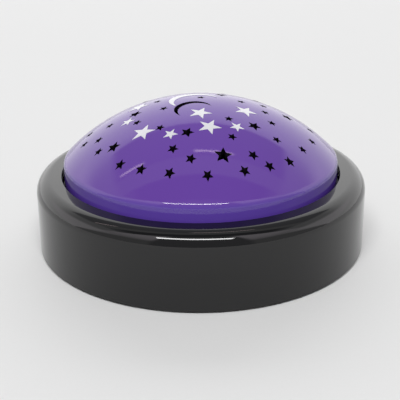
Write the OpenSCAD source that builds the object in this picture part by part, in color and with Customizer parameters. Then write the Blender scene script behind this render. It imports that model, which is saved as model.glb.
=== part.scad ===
// Star night light: a domed cap with star and moon windows that is pressed
// down into a round base to switch the lamp inside on and off.
// Millimetres, +Z up, origin on the table under the middle of the feet.
// Azimuths of the stars count from the front (-Y) towards the right (+X).

/* [Base housing] */
// Outside diameter of the base at its shoulder
base_d = 140; // [136:1:170]
// Height of the base's flat top above the table
base_h = 31.5; // [29.5:0.1:38]
// How far the foot of the wall stands out past the shoulder
base_draft = 0.3; // [0:0.1:0.8]
// Wall thickness of the base
base_wall = 2.2; // [1.6:0.1:3]
// Width of the rounded shoulder
shoulder_w = 6.2; // [3:0.1:7]
// Drop of the rounded shoulder
shoulder_h = 6.2; // [3:0.1:8]
// Radius of the rounded lip around the well
lip_r = 0.3; // [0.1:0.1:1]
// Gap between the dome's skirt and the wall of the well
well_gap = 1.1; // [0.8:0.1:2]
// Wall thickness of the well
collar_t = 2; // [1.4:0.1:3]
// Thickness of the shelf that carries the springs
shelf_t = 1.8; // [1.2:0.1:2.4]
// Number of stiffening ribs between the well and the wall
rib_count = 12; // [6:1:24]

/* [Dome] */
// Outside diameter of the dome's skirt
dome_d = 116.2; // [110:0.2:120]
// Height of the crown above the skirt
dome_rise = 24.3; // [16:0.1:36]
// Height of the skirt that shows above the base
skirt_show = 5.8; // [4:0.1:12]
// Depth of the skirt inside the well
skirt_sink = 4.5; // [3.6:0.1:6]
// Wall thickness of the dome
dome_wall = 2.2; // [1.6:0.1:3]
// Radius of the rounded crease between crown and skirt
crease_r = 3.5; // [0.6:0.1:4.5]
// How far the dome goes down when it is pressed
dome_travel = 2.5; // [1.5:0.1:3]
// Thickness of the ring under the skirt
ring_t = 2.2; // [1.6:0.1:3]

/* [Stars and moon] */
// Outer radius of a tiny star window
star_tiny = 2; // [1.4:0.1:2.2]
// Outer radius of a small star window
star_small = 2.3; // [1.5:0.1:2.6]
// Outer radius of a medium star window
star_medium = 2.9; // [2:0.1:3.6]
// Outer radius of a large star window
star_large = 3.6; // [2.6:0.1:4.4]
// Inner radius of a star window as a part of its outer radius
star_waist = 0.47; // [0.34:0.01:0.6]
// Outer radius of a small printed star
print_small = 3; // [2:0.1:3.6]
// Outer radius of a large printed star
print_large = 4.8; // [3:0.1:5.2]
// Inner radius of a printed star as a part of its outer radius
print_waist = 0.39; // [0.3:0.01:0.6]
// Outer radius of the moon window
moon_r = 7.8; // [6:0.1:8.3]
// Outer radius of the printed moon
print_moon_r = 10.3; // [9:0.1:10.8]
// Thickness of the print
print_t = 0.12; // [0.08:0.01:0.3]

/* [Battery bay] */
// Diameter of an AA cell
cell_d = 14.5; // [13.7:0.1:14.6]
// Length of an AA cell over its nub
cell_l = 50.5; // [49:0.1:51]
// Gap between two cells
cell_gap = 0.5; // [0.3:0.1:1]
// Space at a cell's flat end for its spring
spring_room = 3.7; // [3.3:0.1:5]
// Wall thickness of the bay
bay_wall = 1.6; // [1.2:0.1:2]
// Thickness of the battery door
door_t = 2.4; // [2:0.1:3]
// Gap around the battery door
door_gap = 0.3; // [0.2:0.05:0.5]
// Thickness of the contact plates
contact_t = 0.4; // [0.3:0.05:0.6]

/* [Feet and base plate] */
// Height of the rubber feet below the base
foot_proud = 1; // [0.6:0.1:2]
// Diameter of a rubber foot
foot_d = 10; // [8:0.5:14]
// Thickness of the base plate
plate_t = 2.6; // [2.4:0.1:3.4]
// Gap between the base plate and the housing's wall
plate_gap = 0.4; // [0.2:0.1:0.8]

/* [Return springs] */
// Outside diameter of a return spring
spring_d = 8; // [6:0.1:8.6]
// Wire diameter of a return spring
spring_wire = 0.6; // [0.5:0.1:0.8]
// Length of a return spring with the dome up
spring_len = 12.6; // [11:0.1:14]
// Turns of a return spring
spring_turns = 5; // [4:1:6]

/* [Switch and lamp] */
// Width of the push switch
switch_w = 8.5; // [7:0.1:9]
// Height of the push switch's case
switch_h = 8; // [6:0.1:8.5]
// Diameter of the switch's plunger
plunger_d = 3.6; // [2.5:0.1:4.5]
// Diameter of the lamp board
board_d = 30; // [28:0.5:36]
// Thickness of both circuit boards
board_t = 1.2; // [0.8:0.1:1.6]
// Diameter of the LED
led_d = 5; // [3:0.5:5]
// Height of the spacer that lifts the LED off its board
spacer_h = 6; // [3:0.5:10]
// Diameter of the hook-up wires
wire_d = 1.3; // [0.9:0.1:1.6]

/* [Hidden] */
$fn = 96;
sink = 0.01;          // how far one shape runs into the next, so they join
over = 1;             // how far a cut runs past what it opens
clear = 0.3;          // gap between neighbouring pieces
touch = 0.1;          // gap between pieces that meet

base_r = base_d / 2;
wall_in_r = base_r - base_wall;
dome_r = dome_d / 2;
well_r = dome_r + well_gap;
collar_r = well_r + collar_t;
skirt_in_r = dome_r - dome_wall;

// Heights, from the table up
plate_z = foot_proud;
plate_top = plate_z + plate_t;
door_top = plate_z + door_t;
cell_z = max(door_top, plate_top) + clear + cell_d / 2;
bay_top = cell_z + cell_d / 2 + clear;
roof_top = bay_top + bay_wall;
skirt_z = base_h - skirt_sink;
ring_z = skirt_z - ring_t;
shelf_room = 2.3;     // free height over the shelf when the dome is down
shelf_top = ring_z - dome_travel - shelf_room;
shelf_z = shelf_top - shelf_t;
spring_z = ring_z - spring_len;

// The crown is part of a sphere about crown_z on the axis
crown_r = (dome_r * dome_r + dome_rise * dome_rise) / (2 * dome_rise);
crown_z = base_h + skirt_show + dome_rise - crown_r;
apex_z = crown_z + crown_r;
rim_angle = asin(dome_r / crown_r);
crease_x = dome_r - crease_r;
crease_z = crown_z + sqrt(pow(crown_r - crease_r, 2) - crease_x * crease_x);
crease_top_x = crease_x * crown_r / (crown_r - crease_r);

// The springs, hooks, screws and switch all stand on one circle
mech_in = 4.1;        // how far that circle is inside the skirt
ring_in = 6;          // how far the ring reaches inside that circle
shelf_in = 8;         // how far the shelf reaches inside that circle
mech_r = dome_r - mech_in;
ring_in_r = mech_r - ring_in;
shelf_in_r = mech_r - shelf_in;
flange_r = well_r - 0.5;
SPRING_AT = [90, 210, 330];
HOOK_AT = [30, 150, 270];
SCREW_AT = [45, 135, 225, 315];
FOOT_AT = [0, 90, 180, 270];
foot_in = 12;         // how far the feet are inside the base's edge
foot_circle = base_r - foot_in;
foot_sunk = 0.5;

cup_t = 1.2;
cup_in_d = spring_d + 1.2;
cup_d = cup_in_d + 2 * cup_t;
peg_d = spring_d - 2 * spring_wire - 1;
peg_h = 2;

hook_w = 7;
hook_t = 1.8;
hook_reach = 1.4;
hook_h = 1.6;
hook_room = 2.5;      // free way inwards, for snapping the hook in
hook_side = 1;
stop_w = 10;
stop_l = 3;
stop_turn = 14;       // how far round from a hook its two stops stand
wall_rib_t = 1.6;
rib_root = 0.2;       // how far a rib runs into the wall
plunger_room = 1;

boss_d = 7;
boss_pad_d = 9;
boss_pad_h = 1.2;
tip_room = 0.5;       // free depth past a screw's tip
house_screw = [2.9, 5.5, 1.8, 12];   // shank, head, head height, length
house_sunk = 0.2;
house_hole = house_screw[0] + 0.5;
small_screw = [1.9, 3.8, 1.2, 4];
small_boss_d = 5;
board_hole = small_screw[0] + 0.4;
door_screw = [2.6, 5, 1.3, 8.5];
fit = 0.1;            // how much wider a screw's hole is than its shank
foot_gap = 0.2;

// Battery bay: three cells side by side, lying along Y
cell_pitch = cell_d + cell_gap;
CELL_X = [-cell_pitch, 0, cell_pitch];
CELL_TURN = [1, -1, 1];              // 1 has its nub towards +Y
bay_x = 1.5 * cell_d + cell_gap + 0.5;
bay_y = (cell_l + spring_room) / 2 + contact_t;
ledge = 0.9;
door_x = bay_x + ledge;
door_y = bay_y + ledge;
lug_r = 5;
lug_y = door_y + 4.2;
seat_t = 1.6;
seat_rim = 2.2;
door_boss_d = 6.5;
door_boss_top = plate_z + door_screw[2] + door_screw[3] + 2 * tip_room;
grip_count = 5;
grip_pitch = 2.2;
grip_w = 16;
grip_t = 1;
grip_deep = 0.5;
rib_t = 1.5;
rib_drop = 3.6;
nub_d = 5.5;
nub_h = 1.2;
pad_half = 6.2;       // half width of one contact plate
pad_drop = 5.4;       // plate's half height
tab_w = 4;
tab_top = roof_top + 2.2;
cell_wire = 0.6;
cell_coil = [3.9, 2.7];              // spring's mean radius at plate and cell
cell_turns = 3;

lamp_post_h = 2;
lamp_board_z = roof_top + lamp_post_h;
lamp_board_top = lamp_board_z + board_t;
lamp_screw_x = board_d / 2 - 4;
lamp_pad = [board_d / 8, -board_d / 3];
spacer_r = led_d / 2 + 1.1;
spacer_hole = 1.9;
lead_d = 0.5;
lead_x = 1.27;
lead_tip = 0.8;       // how far a lead comes through its board
lead_hole = lead_d + 0.3;
led_z = lamp_board_top + spacer_h;
led_flange_h = 1;
led_flange_d = led_d + 0.8;
led_body_h = led_d - led_flange_h;

switch_board_z = plate_top + 1.6;
switch_case_z = switch_board_z + board_t;
switch_case_top = switch_case_z + switch_h;
switch_board_y = 10;
switch_pad_x = mech_r - 8;
switch_board_x = [switch_pad_x - 3.5, mech_r + switch_w / 2 + 1.5];
switch_screw_y = 7.5;
switch_wire_y = 2.5;
plunger_deep = 4;

// Star windows that show from the front:
// azimuth, way from the apex to the rim in percent, size, twist
T = star_tiny;
S = star_small;
M = star_medium;
L = star_large;
FRONT_WINDOWS = [
    [-89, 77, T, 22], [-79, 81, T, 26], [-60, 77, T, -34], [-40, 79, S, -19],
    [-28, 79, S, -8], [-14, 79, S, 17], [3, 80, S, 36], [20, 79, S, -16],
    [33, 79, S, -6], [45, 80, S, 27], [60, 77, T, -22], [75, 78, T, -26],
    [92, 77, T, 31],
    [-70.5, 71.5, T, 33], [-53, 69.5, M, -26], [-16, 61, S, 16], [-5, 68, S, 18],
    [12, 66, L, 15], [28, 69, S, -20], [50, 63, T, 0], [92, 59, M, 30],
    [-81, 61, T, 24], [-60, 46.5, T, -31], [-79, 43, M, 23], [-34, 44.5, T, -6],
    [-10, 46, M, 14], [22, 52, T, -31], [46, 47, M, -4], [64.5, 51, T, -9],
    [80, 43, T, -22], [100, 43, T, 14],
    [31, 34.5, T, 34], [-63, 26, T, -29], [-104, 29, T, -8], [96, 27, T, -26],
    [140, 22, M, 29], [173, 4.5, T, -30]
];
// Rows that go on round the back: first azimuth, step, count, way to the rim, size
BACK_ROWS = [
    [107, 15, 10, 79, S],
    [113, 30, 5, 67, M],
    [128, 62, 2, 60, T],
    [121, 29, 5, 45, T],
    [150, 40, 2, 33, T]
];
BACK_WINDOWS = [for (row = BACK_ROWS) for (i = [0 : row[2] - 1])
    [row[0] + i * row[1], row[3], row[4], 23 * i]];
PRINTED_STARS = [
    [0, 24, print_large, 22], [62.5, 32.5, print_large, 12], [8, 40.5, print_large, 31],
    [-43.5, 52, print_large, -20], [-98, 41, print_large, 10],
    [31, 44, print_small, -11], [-22, 49, print_small, 8], [-69.5, 50, print_small, 32],
    [158, 60, print_large, 18], [-142, 59, print_large, -8]
];
moon_at = [-2.8, -10.8];
moon_inner = [1.3, -2];              // where the hollow's circle is from moon_at
moon_bite = 0.3;                     // how much smaller the hollow's circle is
print_moon_at = [-2.7, 0.3];
moon_gap = 0.5;                      // how far the print keeps clear of the moon window
moon_depth = 8;

function unit(v) = v / norm(v);

function span(middle, half) = [middle - half, middle + half];

function bend(a, b, c, d, t) =
    0.5 * (2 * b + (c - a) * t + (2 * a - 5 * b + 4 * c - d) * t * t
           + (3 * b - a - 3 * c + d) * t * t * t);

function smooth(p, n) = [
    for (i = [0 : len(p) - 2]) for (k = [0 : n - 1])
        bend(p[max(i - 1, 0)], p[i], p[i + 1], p[min(i + 2, len(p) - 1)], k / n),
    p[len(p) - 1]
];

function coil(r0, r1, z0, z1, turns, steps) = [
    for (i = [0 : turns * steps]) let (f = i / (turns * steps), a = f * turns * 360,
        r = r0 + (r1 - r0) * f) [r * cos(a), r * sin(a), z0 + (z1 - z0) * f]
];

function heading(p, i) = unit(p[min(i + 1, len(p) - 1)] - p[max(i - 1, 0)]);

// A wire's path: straight at both ends and smooth in between
function route(p) = concat([p[0]], smooth([for (i = [1 : len(p) - 2]) p[i]], 4), [p[len(p) - 1]]);

// A round tube along a list of points. aside is never along the tube.
module tube(path, d, sides, aside) {
    last = len(path) - 1;
    points = [for (i = [0 : last]) let (t = heading(path, i), u = unit(cross(t, aside)),
        v = cross(t, u)) for (j = [0 : sides - 1])
            path[i] + d / 2 * (cos(j * 360 / sides) * u + sin(j * 360 / sides) * v)];
    skin = [for (i = [0 : last - 1]) for (j = [0 : sides - 1])
        let (a = i * sides + j, b = i * sides + (j + 1) % sides)
        each [[a, a + sides, b + sides], [a, b + sides, b]]];
    start = [for (j = [0 : sides - 1]) j];
    end = [for (j = [sides - 1 : -1 : 0]) last * sides + j];
    polyhedron(points, concat([start], skin, [end]));
}

module around(angles, r) {
    for (a = angles) rotate([0, 0, a]) translate([r, 0, 0]) children();
}

module rod(d, z0, z1) {
    translate([0, 0, z0]) cylinder(d = d, h = z1 - z0);
}

module ring(r_out, r_in, z0, z1) {
    difference() {
        rod(2 * r_out, z0, z1);
        rod(2 * r_in, z0 - over, z1 + over);
    }
}

module block(x, y, z) {
    translate([x[0], y[0], z[0]]) cube([x[1] - x[0], y[1] - y[0], z[1] - z[0]]);
}

// A pan-head screw, head down, with its seat at z = 0
module screw(size) {
    rod(size[1], -size[2], 0);
    rod(size[0], -sink, size[3]);
}

// A five-pointed star, its first point turned by twist from +Y towards +X
module star(r, waist, twist) {
    polygon([for (i = [0 : 9]) let (a = twist + 36 * i, q = i % 2 == 0 ? r : r * waist)
        [q * sin(a), q * cos(a)]]);
}

// Upright posts that end above the crown. A star's +Y points to the axis.
module star_posts(stars, waist) {
    for (s = stars) rotate([0, 0, s[0]]) translate([0, -crown_r * sin(s[1] / 100 * rim_angle), 0])
        linear_extrude(apex_z + over) star(s[2], waist, s[3]);
}

module crescent(r, at) {
    grow = r / moon_r;
    translate([at[0], at[1], apex_z - moon_depth]) linear_extrude(moon_depth + over) difference() {
        circle(r);
        translate(moon_inner * grow) circle(r - moon_bite * grow);
    }
}

// A thin skin on the crown, where the print is
module crown_skin() {
    translate([0, 0, crown_z]) difference() {
        sphere(crown_r + print_t);
        sphere(crown_r);
    }
}

// ---- Base ----

// The shoulder's curve, or one that lies inset below it, from the wall to the top
function shoulder_curve(inset) = let (steps = 12) [for (i = [0 : steps]) let (a = 90 * i / steps)
    [base_r - shoulder_w + (shoulder_w - inset) * cos(a),
     base_h - shoulder_h + (shoulder_h - inset) * sin(a)]];

module housing_profile() {
    inside = shoulder_curve(base_wall);
    lip = [for (i = [0 : 4]) let (a = 90 + 90 * i / 4)
        [well_r + lip_r + lip_r * cos(a), base_h - lip_r + lip_r * sin(a)]];
    polygon(concat(
        [[wall_in_r, plate_z], [base_r + base_draft, plate_z]],
        shoulder_curve(0), lip,
        [[well_r, shelf_top], [shelf_in_r, shelf_top], [shelf_in_r, shelf_z],
         [collar_r, shelf_z], [collar_r, base_h - base_wall]],
        [for (i = [len(inside) - 1 : -1 : 0]) inside[i]]));
}

// A stiffening rib between the well and the wall, out along +X
module wall_rib() {
    rotate([90, 0, 0]) linear_extrude(wall_rib_t, center = true) polygon(concat(
        [[collar_r - rib_root, shelf_top], [wall_in_r + rib_root, shelf_top]],
        shoulder_curve(base_wall - rib_root),
        [[collar_r - rib_root, base_h - base_wall + rib_root]]));
}

module base_housing() {
    color([0.10, 0.10, 0.11]) difference() {
        union() {
            rotate_extrude() housing_profile();
            around(SPRING_AT, mech_r) rod(cup_d, spring_z - cup_t, shelf_top);
            around(SCREW_AT, mech_r) rod(boss_d, plate_top + boss_pad_h, shelf_z + sink);
            around([for (i = [0 : rib_count - 1]) (i + 0.5) * 360 / rib_count], 0) wall_rib();
            for (a = HOOK_AT, side = [-1, 1]) rotate([0, 0, a + side * stop_turn])
                block([well_r - stop_l, well_r + sink], span(0, stop_w / 2),
                      [shelf_top - sink, ring_z - dome_travel - touch]);
        }
        around(SPRING_AT, mech_r) rod(cup_in_d, spring_z, shelf_top + over);
        around(SCREW_AT, mech_r) rod(house_screw[0] + fit, plate_z,
            plate_z + house_sunk + house_screw[2] + house_screw[3] + tip_room);
        around(HOOK_AT, mech_r) block([-hook_t / 2 - hook_room, hook_t / 2 + clear],
            span(0, hook_w / 2 + hook_side), [shelf_z - over, shelf_top + over]);
        around([0], mech_r) rod(plunger_d + 2 * plunger_room, shelf_z - over, shelf_top + over);
    }
    color([0.10, 0.10, 0.11]) around(SPRING_AT, mech_r) rod(peg_d, spring_z - sink, spring_z + peg_h);
}

module door_outline(grow) {
    square([2 * (door_x + grow), 2 * (door_y + grow)], center = true);
    for (side = [-1, 1]) translate([0, side * lug_y]) circle(lug_r + grow);
    square([2 * (lug_r + grow), 2 * lug_y], center = true);
}

module base_plate() {
    color([0.09, 0.09, 0.10]) difference() {
        union() {
            rod(2 * (wall_in_r - plate_gap), plate_z, plate_top);
            translate([0, 0, plate_top - sink]) linear_extrude(seat_t)
                door_outline(door_gap + seat_rim);
            block(span(0, bay_x + bay_wall), span(0, bay_y + bay_wall), [plate_top - sink, roof_top]);
            for (side = [-1, 1]) translate([0, side * lug_y, 0])
                rod(door_boss_d, plate_top, door_boss_top);
            around(SCREW_AT, mech_r) rod(boss_pad_d, plate_z, plate_top + boss_pad_h);
            for (side = [-1, 1]) {
                translate([side * lamp_screw_x, 0, 0])
                    rod(small_boss_d, roof_top - sink, lamp_board_z);
                translate([switch_pad_x, side * switch_screw_y, 0])
                    rod(small_boss_d, plate_top - sink, switch_board_z);
            }
        }
        translate([0, 0, plate_z - over]) linear_extrude(plate_t + over) door_outline(door_gap);
        difference() {
            block(span(0, bay_x), span(0, bay_y), [plate_z, bay_top]);
            for (side = [-1, 1]) block(span(side * cell_pitch / 2, rib_t / 2), span(0, bay_y / 2),
                                       [bay_top - rib_drop, bay_top + over]);
        }
        for (i = [0, 2]) translate([CELL_X[i], (1 - i) * bay_y, 0])
            block(span(0, tab_w / 2 + clear), span(0, contact_t + clear),
                  [bay_top - over, roof_top + over]);
        for (side = [-1, 1]) {
            translate([0, side * lug_y, 0])
                rod(door_screw[0] + fit, plate_z, door_boss_top - tip_room);
            translate([side * lamp_screw_x, 0, 0]) rod(small_screw[0] + fit,
                lamp_board_top - small_screw[3] - tip_room, lamp_board_z + over);
            translate([switch_pad_x, side * switch_screw_y, 0]) rod(small_screw[0] + fit,
                switch_case_z - small_screw[3] - tip_room, switch_board_z + over);
        }
        around(SCREW_AT, mech_r) {
            rod(house_hole, plate_z - over, plate_top + boss_pad_h + over);
            rod(house_screw[1] + 2 * clear, plate_z - over, plate_z + house_sunk + house_screw[2]);
        }
        around(FOOT_AT, foot_circle) rod(foot_d + 2 * foot_gap, plate_z - over, plate_z + foot_sunk);
    }
}

module rubber_foot(place) {
    bevel = 0.3;
    color([0.16, 0.16, 0.16]) around([FOOT_AT[place]], foot_circle)
        rotate_extrude() polygon([
            [0, 0], [foot_d / 2 - bevel, 0], [foot_d / 2, bevel],
            [foot_d / 2, foot_proud + foot_sunk], [0, foot_proud + foot_sunk]]);
}

module foot_right() { rubber_foot(0); }
module foot_rear() { rubber_foot(1); }
module foot_left() { rubber_foot(2); }
module foot_front() { rubber_foot(3); }

module housing_screws() {
    color("silver") around(SCREW_AT, mech_r)
        translate([0, 0, plate_z + house_sunk + house_screw[2]]) screw(house_screw);
}

// ---- Batteries and contacts ----

module battery_cell(place) {
    turn = CELL_TURN[place];
    tip = turn * (bay_y - contact_t);
    bevel = 0.5;
    r = cell_d / 2;
    color([0.35, 0.37, 0.40]) translate([CELL_X[place], tip, cell_z]) rotate([turn * 90, 0, 0])
        rotate_extrude() polygon([
            [0, 0], [nub_d / 2, 0], [nub_d / 2, nub_h], [r - bevel, nub_h], [r, nub_h + bevel],
            [r, cell_l - bevel], [r - bevel, cell_l], [0, cell_l]]);
}

module battery_cell_1() { battery_cell(0); }
module battery_cell_2() { battery_cell(1); }
module battery_cell_3() { battery_cell(2); }

// A contact plate on the bay's end wall; side is 1 at the +Y end
module contact_plate(x0, x1, side) {
    far = side * bay_y;
    near = side * (bay_y - contact_t);
    block([x0, x1], [min(far, near), max(far, near)], span(cell_z, pad_drop));
}

module contact_tab(x, side) {
    far = side * bay_y;
    near = side * (bay_y - contact_t);
    block(span(x, tab_w / 2), [min(far, near), max(far, near)], [cell_z, tab_top]);
}

module contact_positive() {
    color("silver") {
        contact_plate(CELL_X[0] - pad_half, CELL_X[0] + pad_half, 1);
        contact_tab(CELL_X[0], 1);
    }
}

module contact_negative() {
    color("silver") {
        contact_plate(CELL_X[2] - pad_half, CELL_X[2] + pad_half, -1);
        contact_tab(CELL_X[2], -1);
    }
}

module contact_bridge_front() {
    color("silver") contact_plate(CELL_X[0] - pad_half, CELL_X[1] + pad_half, -1);
}

module contact_bridge_rear() {
    color("silver") contact_plate(CELL_X[1] - pad_half, CELL_X[2] + pad_half, 1);
}

module battery_spring(place) {
    turn = CELL_TURN[place];
    half = cell_wire / 2;
    color("silver") translate([CELL_X[place], -turn * (bay_y - contact_t), cell_z])
        rotate([-turn * 90, 0, 0])
            tube(coil(cell_coil[0], cell_coil[1], half, spring_room - half, cell_turns, 12),
                 cell_wire, 6, [0, 0, 1]);
}

module battery_spring_1() { battery_spring(0); }
module battery_spring_2() { battery_spring(1); }
module battery_spring_3() { battery_spring(2); }

module battery_door() {
    color([0.10, 0.10, 0.11]) difference() {
        translate([0, 0, plate_z]) linear_extrude(door_t) door_outline(0);
        for (side = [-1, 1]) translate([0, side * lug_y, 0]) {
            rod(door_screw[0] + 2 * clear, plate_z - over, door_top + over);
            rod(door_screw[1] + 2 * clear, plate_z - over, plate_z + door_screw[2]);
        }
        for (i = [1 : grip_count]) block(span(0, grip_w / 2), span(door_y - i * grip_pitch, grip_t / 2),
                                         [plate_z - over, plate_z + grip_deep]);
    }
}

module battery_door_screws() {
    color("silver") for (side = [-1, 1])
        translate([0, side * lug_y, plate_z + door_screw[2]]) screw(door_screw);
}

// ---- Lamp ----

module lamp_board() {
    color([0.10, 0.35, 0.18]) difference() {
        rod(board_d, lamp_board_z, lamp_board_top);
        for (side = [-1, 1]) {
            translate([side * lamp_screw_x, 0, 0])
                rod(board_hole, lamp_board_z - over, lamp_board_top + over);
            translate([side * lead_x, 0, 0])
                rod(lead_hole, lamp_board_z - over, lamp_board_top + over);
        }
    }
}

module lamp_board_screws() {
    color("silver") for (side = [-1, 1]) translate([side * lamp_screw_x, 0, lamp_board_top])
        mirror([0, 0, 1]) screw(small_screw);
}

module lamp_spacer() {
    color([0.85, 0.85, 0.82]) ring(spacer_r, spacer_hole, lamp_board_top, led_z);
}

module lamp_led() {
    color([0.9, 0.95, 1.0, 0.6]) union() {
        rod(led_flange_d, led_z, led_z + led_flange_h);
        rod(led_d, led_z, led_z + led_flange_h + led_body_h);
        translate([0, 0, led_z + led_flange_h + led_body_h]) sphere(d = led_d);
        for (side = [-1, 1]) translate([side * lead_x, 0, 0])
            rod(lead_d, lamp_board_z - lead_tip, led_z + sink);
    }
}

module lamp_resistor() {
    body_d = 2.2;
    body_l = 6;
    stand = 1.6;
    leg_d = 0.6;
    leg_x = body_l / 2 - 0.4;
    color([0.80, 0.70, 0.50]) translate([-board_d / 6, board_d / 4, lamp_board_top]) {
        translate([0, 0, stand]) rotate([0, 90, 0]) cylinder(d = body_d, h = body_l, center = true);
        for (side = [-1, 1]) translate([side * leg_x, 0, 0]) rod(leg_d, 0, stand);
    }
}

// ---- Switch ----

module switch_board() {
    color([0.10, 0.35, 0.18]) difference() {
        block(switch_board_x, span(0, switch_board_y), [switch_board_z, switch_case_z]);
        for (side = [-1, 1]) translate([switch_pad_x, side * switch_screw_y, 0])
            rod(board_hole, switch_board_z - over, switch_case_z + over);
    }
}

module switch_board_screws() {
    color("silver") for (side = [-1, 1])
        translate([switch_pad_x, side * switch_screw_y, switch_case_z])
            mirror([0, 0, 1]) screw(small_screw);
}

module switch_case() {
    half = switch_w / 2;
    color([0.12, 0.12, 0.13]) difference() {
        block(span(mech_r, half), span(0, half), [switch_case_z, switch_case_top]);
        around([0], mech_r) rod(plunger_d + 2 * fit,
            switch_case_top - plunger_deep - dome_travel - clear, switch_case_top + over);
    }
}

module switch_plunger() {
    color([0.88, 0.88, 0.86]) around([0], mech_r)
        rod(plunger_d, switch_case_top - plunger_deep, ring_z - touch);
}

// ---- Hook-up wires ----

module wire_battery_to_switch() {
    x = bay_x + bay_wall + 6;
    y = bay_y + bay_wall + 2;
    color([0.75, 0.08, 0.06]) tube(route([
        [CELL_X[0], bay_y - contact_t / 2, tab_top],
        [CELL_X[0], bay_y - contact_t / 2, tab_top + 1],
        [CELL_X[0] / 2, y - 1, tab_top + 1],
        [CELL_X[2] / 2, y, roof_top],
        [x - 8, y, roof_top - 4],
        [x + 2, y - 8, switch_case_top - 4],
        [switch_pad_x - 3, 8, switch_case_z + 3.4],
        [switch_pad_x, switch_wire_y, switch_case_z + 1.6],
        [switch_pad_x, switch_wire_y, switch_case_z]]), wire_d, 8, [0.2, 0.1, -0.3]);
}

module wire_switch_to_lamp() {
    x = bay_x + bay_wall;
    color([0.85, 0.75, 0.10]) tube(route([
        [switch_pad_x, -switch_wire_y, switch_case_z],
        [switch_pad_x, -switch_wire_y, switch_case_z + 1.6],
        [x + 9, -8, switch_case_top - 1],
        [x + 4, -9, roof_top - 1],
        [x - 3, -9, lamp_board_top],
        [board_d / 2, -8, lamp_board_top + 2],
        [board_d / 4, -6, lamp_board_top + 1.2],
        [board_d / 4, -6, lamp_board_top]]), wire_d, 8, [0, 1, 0.1]);
}

module wire_battery_to_lamp() {
    y = -board_d / 2;
    color([0.08, 0.08, 0.08]) tube(route([
        [CELL_X[2], contact_t / 2 - bay_y, tab_top],
        [CELL_X[2], contact_t / 2 - bay_y, tab_top + 1],
        [CELL_X[2] - 3, y - 6, tab_top + 2.2],
        [CELL_X[1] + cell_d / 2, y, lamp_board_top + 2],
        [lamp_pad[0], lamp_pad[1], lamp_board_top + 1.2],
        [lamp_pad[0], lamp_pad[1], lamp_board_top]]), wire_d, 8, [1, 0, 0.1]);
}

// ---- Return springs ----

module return_spring(place) {
    r = (spring_d - spring_wire) / 2;
    half = spring_wire / 2;
    color("silver") around([SPRING_AT[place]], mech_r)
        tube(coil(r, r, spring_z + half, ring_z - half, spring_turns, 14), spring_wire, 6, [0, 0, 1]);
}

module return_spring_1() { return_spring(0); }
module return_spring_2() { return_spring(1); }
module return_spring_3() { return_spring(2); }

// ---- Dome ----

module dome_profile() {
    difference() {
        union() {
            intersection() {
                translate([0, crown_z]) circle(crown_r);
                translate([0, crease_z]) square([crease_top_x, crown_r]);
            }
            translate([crease_x, crease_z]) circle(crease_r);
            translate([0, skirt_z]) square([dome_r, crease_z - skirt_z]);
        }
        intersection() {
            translate([0, crown_z]) circle(crown_r - dome_wall);
            translate([0, skirt_z - over]) square([skirt_in_r, apex_z]);
        }
        translate([-over, skirt_z - over]) square([over, apex_z]);
    }
}

module dome_shell() {
    color([0.40, 0.27, 0.64]) difference() {
        rotate_extrude() dome_profile();
        star_posts(concat(FRONT_WINDOWS, BACK_WINDOWS), star_waist);
        crescent(moon_r, moon_at);
    }
}

module printed_stars() {
    color([0.92, 0.92, 0.94]) intersection() {
        crown_skin();
        star_posts(PRINTED_STARS, print_waist);
    }
}

module printed_moon() {
    color([0.92, 0.92, 0.94]) intersection() {
        crown_skin();
        difference() {
            crescent(print_moon_r, print_moon_at);
            translate([moon_at[0], moon_at[1], 0])
                rod(2 * (moon_r + moon_gap), crown_z, apex_z + 2 * over);
        }
    }
}

module dome_ring() {
    upstand_t = 2;
    upstand_h = 4;
    upstand_r = skirt_in_r - touch;
    hook_top = shelf_z - touch;
    color([0.12, 0.12, 0.13]) union() {
        ring(flange_r, ring_in_r, ring_z, skirt_z);
        ring(upstand_r, upstand_r - upstand_t, skirt_z - sink, skirt_z + upstand_h);
        around(SPRING_AT, mech_r) rod(peg_d, ring_z - peg_h, ring_z + sink);
        around(HOOK_AT, mech_r) {
            block(span(0, hook_t / 2), span(0, hook_w / 2), [hook_top - hook_h, ring_z + sink]);
            block([0, hook_t / 2 + hook_reach], span(0, hook_w / 2), [hook_top - hook_h, hook_top]);
        }
    }
}

base_housing();
base_plate();
foot_right();
foot_rear();
foot_left();
foot_front();
housing_screws();
battery_cell_1();
battery_cell_2();
battery_cell_3();
contact_positive();
contact_negative();
contact_bridge_front();
contact_bridge_rear();
battery_spring_1();
battery_spring_2();
battery_spring_3();
battery_door();
battery_door_screws();
lamp_board();
lamp_board_screws();
lamp_spacer();
lamp_led();
lamp_resistor();
switch_board();
switch_board_screws();
switch_case();
switch_plunger();
wire_battery_to_switch();
wire_switch_to_lamp();
wire_battery_to_lamp();
return_spring_1();
return_spring_2();
return_spring_3();
dome_shell();
printed_stars();
printed_moon();
dome_ring();
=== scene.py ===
"""The looks of the star night light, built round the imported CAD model. Metres, +Z up."""

import math

import bmesh
import bpy
from mathutils import Matrix, Vector


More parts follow.
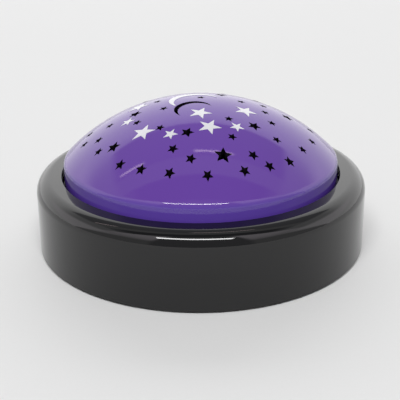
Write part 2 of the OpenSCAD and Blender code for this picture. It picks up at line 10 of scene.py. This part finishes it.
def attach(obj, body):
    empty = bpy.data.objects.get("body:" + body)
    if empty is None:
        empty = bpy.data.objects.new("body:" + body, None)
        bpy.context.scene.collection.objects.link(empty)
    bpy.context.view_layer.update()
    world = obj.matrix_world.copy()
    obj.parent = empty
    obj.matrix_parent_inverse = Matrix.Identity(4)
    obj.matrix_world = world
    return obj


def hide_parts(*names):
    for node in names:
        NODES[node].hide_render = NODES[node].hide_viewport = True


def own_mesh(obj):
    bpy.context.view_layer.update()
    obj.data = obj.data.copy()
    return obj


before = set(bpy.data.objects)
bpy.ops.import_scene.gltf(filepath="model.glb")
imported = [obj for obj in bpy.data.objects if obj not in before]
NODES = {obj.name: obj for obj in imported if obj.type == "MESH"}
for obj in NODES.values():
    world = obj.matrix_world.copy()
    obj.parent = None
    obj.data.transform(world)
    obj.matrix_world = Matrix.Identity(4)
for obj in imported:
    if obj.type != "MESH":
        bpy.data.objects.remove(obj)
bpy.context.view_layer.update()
MM = 0.001

# The dome's crown is part of a sphere; the base's shoulder is a quarter of a circle
CROWN_R = 81.6025 * MM
CROWN_Z = -20.0025 * MM
DOME_R = 58.1 * MM
CREASE_AT = Vector((54.6 * MM, 35.845 * MM))
CREASE_R = 3.5 * MM
SHOULDER_R = 63.8 * MM
SHOULDER_Z = 25.3 * MM
BASE_TOP = 31.5 * MM
WELL_R = 59.2 * MM
LIP_R = 0.3 * MM

# A point this near to a surface lies on it
SKIN = 0.06 * MM
SLACK = 0.01 * MM
NEARLY_ALONG = 0.97
NEARLY_UPRIGHT = 0.03


# ---- Camera ----

CAMERA_PLACE = (0.0, -0.3229, 0.1490)
CAMERA_PITCH = 0.3904
CAMERA_YAW = -0.0014
CAMERA_ROLL = -0.0110
CAMERA_LENS = 71.68


def make_camera():
    cam = bpy.data.objects.new("camera", bpy.data.cameras.new("camera"))
    bpy.context.scene.collection.objects.link(cam)
    ahead = Vector((math.sin(CAMERA_YAW) * math.cos(CAMERA_PITCH),
                    math.cos(CAMERA_YAW) * math.cos(CAMERA_PITCH), -math.sin(CAMERA_PITCH)))
    level = Vector((math.cos(CAMERA_YAW), -math.sin(CAMERA_YAW), 0))
    above = level.cross(ahead)
    right = level * math.cos(CAMERA_ROLL) + above * math.sin(CAMERA_ROLL)
    up = above * math.cos(CAMERA_ROLL) - level * math.sin(CAMERA_ROLL)
    turn = Matrix((right, up, -ahead)).transposed()
    cam.matrix_world = Matrix.Translation(CAMERA_PLACE) @ turn.to_4x4()
    cam.data.lens = CAMERA_LENS
    cam.data.sensor_width = 36.0
    cam.data.clip_start = 0.01
    cam.data.clip_end = 50.0
    bpy.context.scene.camera = cam


make_camera()


# ---- Node helpers ----

class Tree:
    """A node tree with short calls for adding and linking nodes."""

    def __init__(self, owner):
        owner.use_nodes = True
        self.tree = owner.node_tree
        self.tree.nodes.clear()

    def add(self, kind, links=None, **values):
        node = self.tree.nodes.new(kind)
        for name, value in values.items():
            setattr(node, name, value)
        for socket, value in (links or {}).items():
            target = node.inputs[socket]
            if isinstance(value, bpy.types.NodeSocket):
                self.tree.links.new(value, target)
            else:
                target.default_value = value
        return node

    def math(self, operation, a, b=0.0):
        return self.add("ShaderNodeMath", {0: a, 1: b}, operation=operation).outputs[0]

    def step(self, value, low, high):
        """0 where value is under low, 1 where it is over high, smooth in between."""
        node = self.add("ShaderNodeMapRange", {"Value": value, "From Min": low, "From Max": high},
                        interpolation_type="SMOOTHSTEP")
        return node.outputs["Result"]

    def ramp(self, value, low, high, to_low, to_high):
        node = self.add("ShaderNodeMapRange", {"Value": value, "From Min": low, "From Max": high,
                                               "To Min": to_low, "To Max": to_high})
        return node.outputs["Result"]

    def mix(self, factor, a, b):
        """The two colours mixed; factor 0 gives a."""
        node = self.add("ShaderNodeMix", {"Factor": factor}, data_type="RGBA")
        for index, colour in ((6, a), (7, b)):
            if isinstance(colour, bpy.types.NodeSocket):
                self.tree.links.new(colour, node.inputs[index])
            else:
                node.inputs[index].default_value = (*colour, 1.0)
        return node.outputs[2]

    def place(self):
        return self.add("ShaderNodeTexCoord").outputs["Object"]

    def noise(self, scale, detail=2.0, rough=0.5, vector=None):
        node = self.add("ShaderNodeTexNoise", {
            "Vector": vector or self.place(), "Scale": scale, "Detail": detail, "Roughness": rough})
        return node.outputs["Fac"]

    def bump(self, height, strength, distance, normal=None):
        links = {"Height": height, "Strength": strength, "Distance": distance}
        if normal:
            links["Normal"] = normal
        return self.add("ShaderNodeBump", links).outputs["Normal"]


# How often each pattern repeats in a metre, and how deep its relief is
BROAD_SCALE = 28.0
SMUDGE_SCALE = 90.0
DUST_SCALE = 2600.0
PEEL_SCALE = 350.0
PEEL_DEPTH = 0.4 * MM
GRAIN_SCALE = 6000.0
GRAIN_DEPTH = 0.06 * MM
SCRATCH_SCALE = 900.0
SCRATCH_DEPTH = 0.03 * MM
DUST_COLOUR = (0.30, 0.29, 0.28)


def scaled(colour, k):
    return tuple(min(1.0, c * k) for c in colour)


def plastic(name, colour, rough, spread=0.04, vary=0.06, coat=0.0, coat_rough=0.04, ior=1.5,
            peel=0.0, grain=0.0, grain_scale=GRAIN_SCALE, dust=0.0, low=None):
    """Moulded or coated stuff: faint changes of shade, a roughness that wanders and a fine relief.

    low holds two heights and the colour that takes over from the upper to the lower one.
    """
    mat = bpy.data.materials.new(name)
    t = Tree(mat)
    broad = t.noise(BROAD_SCALE, 3.0)
    smudge = t.noise(SMUDGE_SCALE, 6.0, 0.65)
    shade = t.mix(broad, scaled(colour, 1.0 - vary), scaled(colour, 1.0 + vary))
    if low:
        height = t.add("ShaderNodeSeparateXYZ", {"Vector": t.place()}).outputs["Z"]
        shade = t.mix(t.step(height, low[0], low[1]), low[2], shade)
    if dust:
        specks = t.step(t.noise(DUST_SCALE, 1.0), 0.80, 0.86)
        shade = t.mix(t.math("MULTIPLY", specks, dust), shade, DUST_COLOUR)
    shader = t.add("ShaderNodeBsdfPrincipled", {
        "Base Color": shade,
        "IOR": ior,
        "Roughness": t.ramp(smudge, 0.3, 0.7, max(0.02, rough - spread), rough + spread),
        "Coat Weight": coat,
        "Coat Roughness": coat_rough,
    })
    normal = None
    if peel:
        normal = t.bump(t.noise(PEEL_SCALE, 1.0), peel, PEEL_DEPTH)
    if grain:
        normal = t.bump(t.noise(grain_scale, 2.0), grain, GRAIN_DEPTH, normal)
    if normal:
        t.tree.links.new(normal, shader.inputs["Normal"])
        if coat and peel:
            t.tree.links.new(normal, shader.inputs["Coat Normal"])
    out = t.add("ShaderNodeOutputMaterial")
    t.tree.links.new(shader.outputs[0], out.inputs["Surface"])
    return mat


def metal(name, colour, rough):
    """Plated metal with faint stains and fine scratches."""
    mat = bpy.data.materials.new(name)
    t = Tree(mat)
    scale = (SCRATCH_SCALE, SCRATCH_SCALE, SCRATCH_SCALE)
    stretch = t.add("ShaderNodeMapping", {"Vector": t.place(), "Scale": scale}).outputs["Vector"]
    lines = t.noise(1.0, 4.0, 0.6, stretch)
    stain = t.noise(160.0, 4.0, 0.6)
    shader = t.add("ShaderNodeBsdfPrincipled", {
        "Base Color": t.mix(stain, scaled(colour, 0.90), scaled(colour, 1.10)),
        "Metallic": 1.0,
        "Roughness": t.ramp(lines, 0.3, 0.7, rough * 0.8, rough * 1.25),
        "Normal": t.bump(lines, 0.15, SCRATCH_DEPTH),
    })
    out = t.add("ShaderNodeOutputMaterial")
    t.tree.links.new(shader.outputs[0], out.inputs["Surface"])
    return mat


# ---- Materials ----

PURPLE = (0.140, 0.056, 0.365)
# The skirt colour is a bluer copy of the purple: painted light, standing in for the bluish light
# that falls on the skirt
SKIRT_PAINTED_LIGHT_PURPLE = (0.135, 0.064, 0.470)

# Under the crease the purple gives way to the skirt's bluer colour, a painted light tint
purple = plastic("purple_lacquer", PURPLE, 0.06, spread=0.015, vary=0.03, coat=0.08, coat_rough=0.03,
                 peel=0.02, dust=0.15, low=(36.0 * MM, 38.5 * MM, SKIRT_PAINTED_LIGHT_PURPLE))
inner_paint = plastic("black_paint_inside", (0.006, 0.004, 0.007), 0.5, ior=1.25, grain=0.3)
white_print = plastic("white_print", (0.76, 0.76, 0.80), 0.22, vary=0.02, coat=0.4, coat_rough=0.06)
black_gloss = plastic("black_gloss", (0.0045, 0.0045, 0.005), 0.05, spread=0.015, vary=0.15,
                      ior=1.52, coat=0.06, peel=0.02, dust=0.25)
black_matt = plastic("black_matt", (0.016, 0.016, 0.017), 0.5, vary=0.12, grain=0.5, dust=0.15)
rubber = plastic("rubber", (0.018, 0.018, 0.018), 0.75, vary=0.2, grain=0.8, grain_scale=3500.0,
                 dust=0.4)
board = plastic("board", (0.012, 0.085, 0.030), 0.3, vary=0.15, coat=0.3, grain=0.2)
spacer = plastic("spacer", (0.75, 0.74, 0.68), 0.4, vary=0.04, grain=0.2)
resistor = plastic("resistor", (0.60, 0.45, 0.24), 0.3, vary=0.05, coat=0.4)
button = plastic("plunger", (0.74, 0.73, 0.69), 0.35, vary=0.04, grain=0.2)
wire_red = plastic("wire_red", (0.45, 0.012, 0.010), 0.4, vary=0.06)
wire_yellow = plastic("wire_yellow", (0.68, 0.45, 0.02), 0.4, vary=0.06)
wire_black = plastic("wire_black", (0.012, 0.012, 0.012), 0.4, vary=0.1)
steel = metal("screw_steel", (0.56, 0.56, 0.57), 0.3)
nickel = metal("nickel", (0.66, 0.64, 0.60), 0.22)


def cell_material():
    """A plain AA cell: a satin sleeve in one colour, a paler band, and bare metal at both ends."""
    mat = bpy.data.materials.new("cell")
    t = Tree(mat)
    y = t.add("ShaderNodeSeparateXYZ", {"Vector": t.place()}).outputs["Y"]
    far = t.math("ABSOLUTE", y)
    metal_end = t.step(far, 24.55 * MM, 24.65 * MM)
    band = t.math("MULTIPLY", t.step(far, 18.0 * MM, 18.1 * MM),
                  t.math("SUBTRACT", 1.0, t.step(far, 21.5 * MM, 21.6 * MM)))
    wear = t.noise(220.0, 4.0, 0.6)
    sleeve = t.mix(band, (0.030, 0.075, 0.130), (0.55, 0.57, 0.58))
    sleeve = t.mix(t.ramp(wear, 0.35, 0.75, 0.0, 0.12), sleeve, (0.30, 0.32, 0.34))
    shader = t.add("ShaderNodeBsdfPrincipled", {
        "Base Color": t.mix(metal_end, sleeve, (0.60, 0.60, 0.60)),
        "Metallic": metal_end,
        "Roughness": t.ramp(wear, 0.3, 0.7, 0.24, 0.36),
        "Coat Weight": 0.3,
    })
    out = t.add("ShaderNodeOutputMaterial")
    t.tree.links.new(shader.outputs[0], out.inputs["Surface"])
    return mat


def led_material():
    """Clear resin, very slightly cloudy."""
    mat = bpy.data.materials.new("led_resin")
    t = Tree(mat)
    cloud = t.noise(700.0, 3.0)
    shader = t.add("ShaderNodeBsdfPrincipled", {
        "Base Color": t.mix(cloud, (0.90, 0.93, 0.96), (0.97, 0.98, 1.0)),
        "Roughness": t.ramp(cloud, 0.3, 0.7, 0.05, 0.10),
        "IOR": 1.53,
        "Transmission Weight": 0.85,
    })
    out = t.add("ShaderNodeOutputMaterial")
    t.tree.links.new(shader.outputs[0], out.inputs["Surface"])
    return mat


cell = cell_material()
led = led_material()

LOOKS = {
    "base_plate": black_matt, "battery_door": black_matt, "dome_ring": black_matt,
    "switch_case": black_matt,
    "foot_right": rubber, "foot_rear": rubber, "foot_left": rubber, "foot_front": rubber,
    "housing_screws": steel, "battery_door_screws": steel, "lamp_board_screws": steel,
    "switch_board_screws": steel,
    "battery_cell_1": cell, "battery_cell_2": cell, "battery_cell_3": cell,
    "contact_positive": nickel, "contact_negative": nickel, "contact_bridge_front": nickel,
    "contact_bridge_rear": nickel, "battery_spring_1": nickel, "battery_spring_2": nickel,
    "battery_spring_3": nickel, "return_spring_1": nickel, "return_spring_2": nickel,
    "return_spring_3": nickel,
    "lamp_board": board, "switch_board": board, "lamp_spacer": spacer, "lamp_led": led,
    "lamp_resistor": resistor, "switch_plunger": button, "wire_battery_to_switch": wire_red,
    "wire_switch_to_lamp": wire_yellow, "wire_battery_to_lamp": wire_black,
    "dome_shell": purple, "printed_stars": white_print, "printed_moon": white_print,
    "base_housing": black_gloss,
}


def dress(obj, *materials):
    obj.data.materials.clear()
    for mat in materials:
        obj.data.materials.append(mat)


for node_name, look in LOOKS.items():
    dress(NODES[node_name], look)


# ---- Pieces made from the CAD's surfaces ----

def flat_polish(obj, normal_at):
    """Sets each corner's normal to the true surface's, where normal_at knows it."""
    mesh = obj.data
    corners = [Vector(c.vector) for c in mesh.corner_normals]
    for poly in mesh.polygons:
        poly.use_smooth = True
        for loop in poly.loop_indices:
            point = mesh.vertices[mesh.loops[loop].vertex_index].co
            true = normal_at(point, poly.normal)
            if true is not None:
                corners[loop] = true
    mesh.normals_split_custom_set([tuple(c) for c in corners])


def copy_of(node, name, body):
    """A new piece with the node's mesh, in the node's place."""
    obj = bpy.data.objects.new(name, NODES[node].data.copy())
    bpy.context.scene.collection.objects.link(obj)
    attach(obj, body)
    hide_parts(node)
    return obj


def dome_normal(point, face):
    """The true normal on the crown and on the rounded crease below it, or None elsewhere."""
    r = math.hypot(point.x, point.y)
    out = Vector((point.x, point.y, point.z - CROWN_Z))
    near = abs(out.length - CROWN_R) < SKIN
    crease = Vector((r, point.z)) - CREASE_AT
    if not near and abs(crease.length - CREASE_R) < SKIN and crease.x > 0:
        near = True
        out = Vector((point.x / r * crease.x, point.y / r * crease.x, crease.y))
    out.normalize()
    return out if near and face.dot(out) > NEARLY_ALONG else None


def base_normal(point, face):
    """The true normal on the shoulder, the flat top and the lip of the well, or None elsewhere."""
    r = math.hypot(point.x, point.y)
    if r < WELL_R - 2 * SLACK or point.z < SHOULDER_Z - SLACK or face.z < NEARLY_UPRIGHT:
        return None
    if r > SHOULDER_R:
        across, rise = r - SHOULDER_R, point.z - SHOULDER_Z
    elif r < WELL_R + LIP_R and point.z > BASE_TOP - LIP_R - SLACK:
        across, rise = r - WELL_R - LIP_R, point.z - BASE_TOP + LIP_R
    elif point.z > BASE_TOP - SLACK:
        across, rise = 0.0, 1.0
    else:
        return None
    return Vector((point.x / r * across, point.y / r * across, rise)).normalized()


def on_dome_outside(point):
    """Whether a point is on the lacquered side: the crown, the rounded crease or the skirt."""
    r = math.hypot(point.x, point.y)
    crown = Vector((r, point.z - CROWN_Z))
    crease = Vector((r, point.z)) - CREASE_AT
    return (abs(crown.length - CROWN_R) < SKIN
            or abs(crease.length - CREASE_R) < SKIN and crease.x > 0
            or abs(r - DOME_R) < SKIN)


dome = copy_of("dome_shell", "dome_skin", "dome")
flat_polish(dome, dome_normal)
dress(dome, purple, inner_paint)
for poly in dome.data.polygons:
    corners = (dome.data.vertices[i].co for i in poly.vertices)
    poly.material_index = 0 if all(on_dome_outside(c) for c in corners) else 1

body = copy_of("base_housing", "base_body", "base")
flat_polish(body, base_normal)

# Each of the three return springs is copied into a piece of its own on the base
for number in (1, 2, 3):
    node_name = f"return_spring_{number}"
    spring = copy_of(node_name, f"{node_name}_coil", "base")
    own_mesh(spring)


# ---- Floor, lamps and surroundings ----

FLOOR_R = 8.0
FLOOR_FADE = (0.9, 2.6)


def make_floor():
    """Plain paper, which ends where the backdrop's own colour begins."""
    mesh = bpy.data.meshes.new("floor")
    bm = bmesh.new()
    bmesh.ops.create_circle(bm, cap_ends=True, segments=96, radius=FLOOR_R)
    bm.to_mesh(mesh)
    bm.free()
    floor = bpy.data.objects.new("floor", mesh)
    bpy.context.scene.collection.objects.link(floor)
    mat = bpy.data.materials.new("floor_paper")
    t = Tree(mat)
    fibres = t.noise(SCRATCH_SCALE, 5.0, 0.6)
    paper = t.add("ShaderNodeBsdfPrincipled", {
        "Base Color": t.mix(fibres, (0.80, 0.80, 0.80), (0.83, 0.83, 0.83)),
        "Roughness": 0.6,
        "Specular IOR Level": 0.2,
    })
    rays = t.add("ShaderNodeLightPath")
    behind = t.add("ShaderNodeNewGeometry").outputs["Backfacing"]
    seen = t.math("MULTIPLY", rays.outputs["Is Camera Ray"], t.math("SUBTRACT", 1.0, behind))
    seen = t.math("MAXIMUM", seen, rays.outputs["Is Glossy Ray"])
    seen = t.math("MAXIMUM", seen, rays.outputs["Is Transmission Ray"])
    far = t.add("ShaderNodeVectorMath", {0: t.place()}, operation="LENGTH").outputs["Value"]
    seen = t.math("MULTIPLY", seen, t.math("SUBTRACT", 1.0, t.step(far, *FLOOR_FADE)))
    mixed = t.add("ShaderNodeMixShader", {
        0: seen, 1: t.add("ShaderNodeBsdfTransparent").outputs[0], 2: paper.outputs[0]})
    out = t.add("ShaderNodeOutputMaterial")
    t.tree.links.new(mixed.outputs[0], out.inputs["Surface"])
    dress(floor, mat)


# The gloss shows a white tent with an open top. A way up is told by u = x / z, to the right, and
# v = y / z, to the back, so straight up is at 0, 0.
OPENING_U, OPENING_V = (-0.92, 0.88), (-0.37, 0.85)
BACK_WALL_LOW, BACK_WALL_HIGH = (1.3, 1.3, 1.3), (0.72, 0.72, 0.73)
CORNER_LOW, CORNER_HIGH = (0.5, 0.5, 0.5), (1.5, 1.4, 1.5)
FRONT_WALL = (0.30, 0.30, 0.31)
SIDE_WALL = (1.5, 1.45, 1.5)
ROOM_DIM, ROOM_LIT, ROOM_FRONT = (0.32, 0.32, 0.34), (0.50, 0.50, 0.50), (0.13, 0.13, 0.14)
TUBES_U, TUBES_V = ((-0.84, -0.52), (-0.05, 0.28)), (0.255, 0.282)
TUBE_LIGHT = (4.3, 3.5, 3.5)
SOFT_STRENGTH = 0.24
PLAIN = (0.85, 0.85, 0.86, 1.0)


def make_world():
    """The tent in the gloss, an even soft light, and a plain backdrop for the camera."""
    world = bpy.data.worlds.new("tent")
    bpy.context.scene.world = world
    t = Tree(world)
    around = t.add("ShaderNodeTexCoord").outputs["Generated"]
    way = t.add("ShaderNodeSeparateXYZ", {"Vector": around})
    up = t.math("MAXIMUM", way.outputs["Z"], 0.02)
    u = t.math("DIVIDE", way.outputs["X"], up)
    v = t.math("DIVIDE", way.outputs["Y"], up)
    side = t.math("ABSOLUTE", u)

    def inside(value, span, soft):
        """1 where value is within the span, with an edge twice as wide as soft."""
        low, high = span
        return t.math("MULTIPLY", t.step(value, low - soft, low + soft),
                      t.math("SUBTRACT", 1.0, t.step(value, high - soft, high + soft)))

    # The walls: the back one, the front one with its two corners, and both sides
    walls = t.mix(t.step(v, 0.4, 1.2), BACK_WALL_HIGH, BACK_WALL_LOW)
    reach = t.math("ADD", t.math("MULTIPLY", u, u), t.math("MULTIPLY", v, v))
    corner = t.mix(t.ramp(reach, 0.8, 5.0, 0.0, 1.0), CORNER_HIGH, CORNER_LOW)
    beside = t.step(t.math("DIVIDE", side, t.math("ABSOLUTE", v)), 0.58, 0.74)
    corner = t.mix(beside, FRONT_WALL, corner)
    walls = t.mix(t.step(v, -0.42, -0.34), corner, walls)
    flank = t.math("MULTIPLY", t.step(side, 1.3, 1.9), inside(v, (-0.9, 1.6), 0.4))
    walls = t.mix(flank, walls, SIDE_WALL)

    # The room over the opening, with its two light tubes
    room = t.mix(inside(v, (-0.04, 0.2), 0.02), ROOM_DIM, ROOM_LIT)
    front = t.math("MULTIPLY", t.math("SUBTRACT", 1.0, t.step(v, -0.06, -0.02)),
                   t.math("SUBTRACT", 1.0, t.step(side, 0.6, 0.8)))
    room = t.mix(front, room, ROOM_FRONT)
    along = t.math("MAXIMUM", inside(u, TUBES_U[0], 0.02), inside(u, TUBES_U[1], 0.02))
    room = t.mix(t.math("MULTIPLY", inside(v, TUBES_V, 0.006), along), room, TUBE_LIGHT)

    opening = t.math("MULTIPLY", inside(u, OPENING_U, 0.10), inside(v, OPENING_V, 0.04))
    gloss = t.add("ShaderNodeBackground", {"Color": t.mix(opening, walls, room), "Strength": 1.0})
    soft = t.add("ShaderNodeBackground", {"Color": (1.0, 1.0, 1.0, 1.0), "Strength": SOFT_STRENGTH})
    plain = t.add("ShaderNodeBackground", {"Color": PLAIN, "Strength": 1.0})
    rays = t.add("ShaderNodeLightPath")
    lit = t.add("ShaderNodeMixShader", {
        0: rays.outputs["Is Glossy Ray"], 1: soft.outputs[0], 2: gloss.outputs[0]})
    shown = t.math("MAXIMUM", rays.outputs["Is Camera Ray"], rays.outputs["Is Transmission Ray"])
    mixed = t.add("ShaderNodeMixShader", {0: shown, 1: lit.outputs[0], 2: plain.outputs[0]})
    out = t.add("ShaderNodeOutputWorld")
    t.tree.links.new(mixed.outputs[0], out.inputs["Surface"])


def make_lamp(name, place, aim, size, watts, mirrored=True):
    light = bpy.data.lights.new(name, "AREA")
    light.shape = "RECTANGLE"
    light.size, light.size_y = size
    light.energy = watts
    obj = bpy.data.objects.new(name, light)
    bpy.context.scene.collection.objects.link(obj)
    obj.location = place
    obj.rotation_mode = "QUATERNION"
    obj.rotation_quaternion = (Vector(aim) - Vector(place)).to_track_quat("-Z", "Y")
    obj.visible_glossy = mirrored


make_floor()
make_world()
make_lamp("front_lamp", (-0.24, -2.47, 3.48), (0.0, 0.0, 0.03), (3.1, 0.52), 95.0)
make_lamp("front_fill", (-0.24, -2.36, 3.55), (0.0, 0.0, 0.03), (3.1, 0.80), 43.0, mirrored=False)
make_lamp("back_lamp", (0.0, 2.30, 1.38), (0.0, 0.0, 0.0), (4.2, 1.2), 35.0, mirrored=False)

scene = bpy.context.scene
scene.view_settings.view_transform = "Standard"
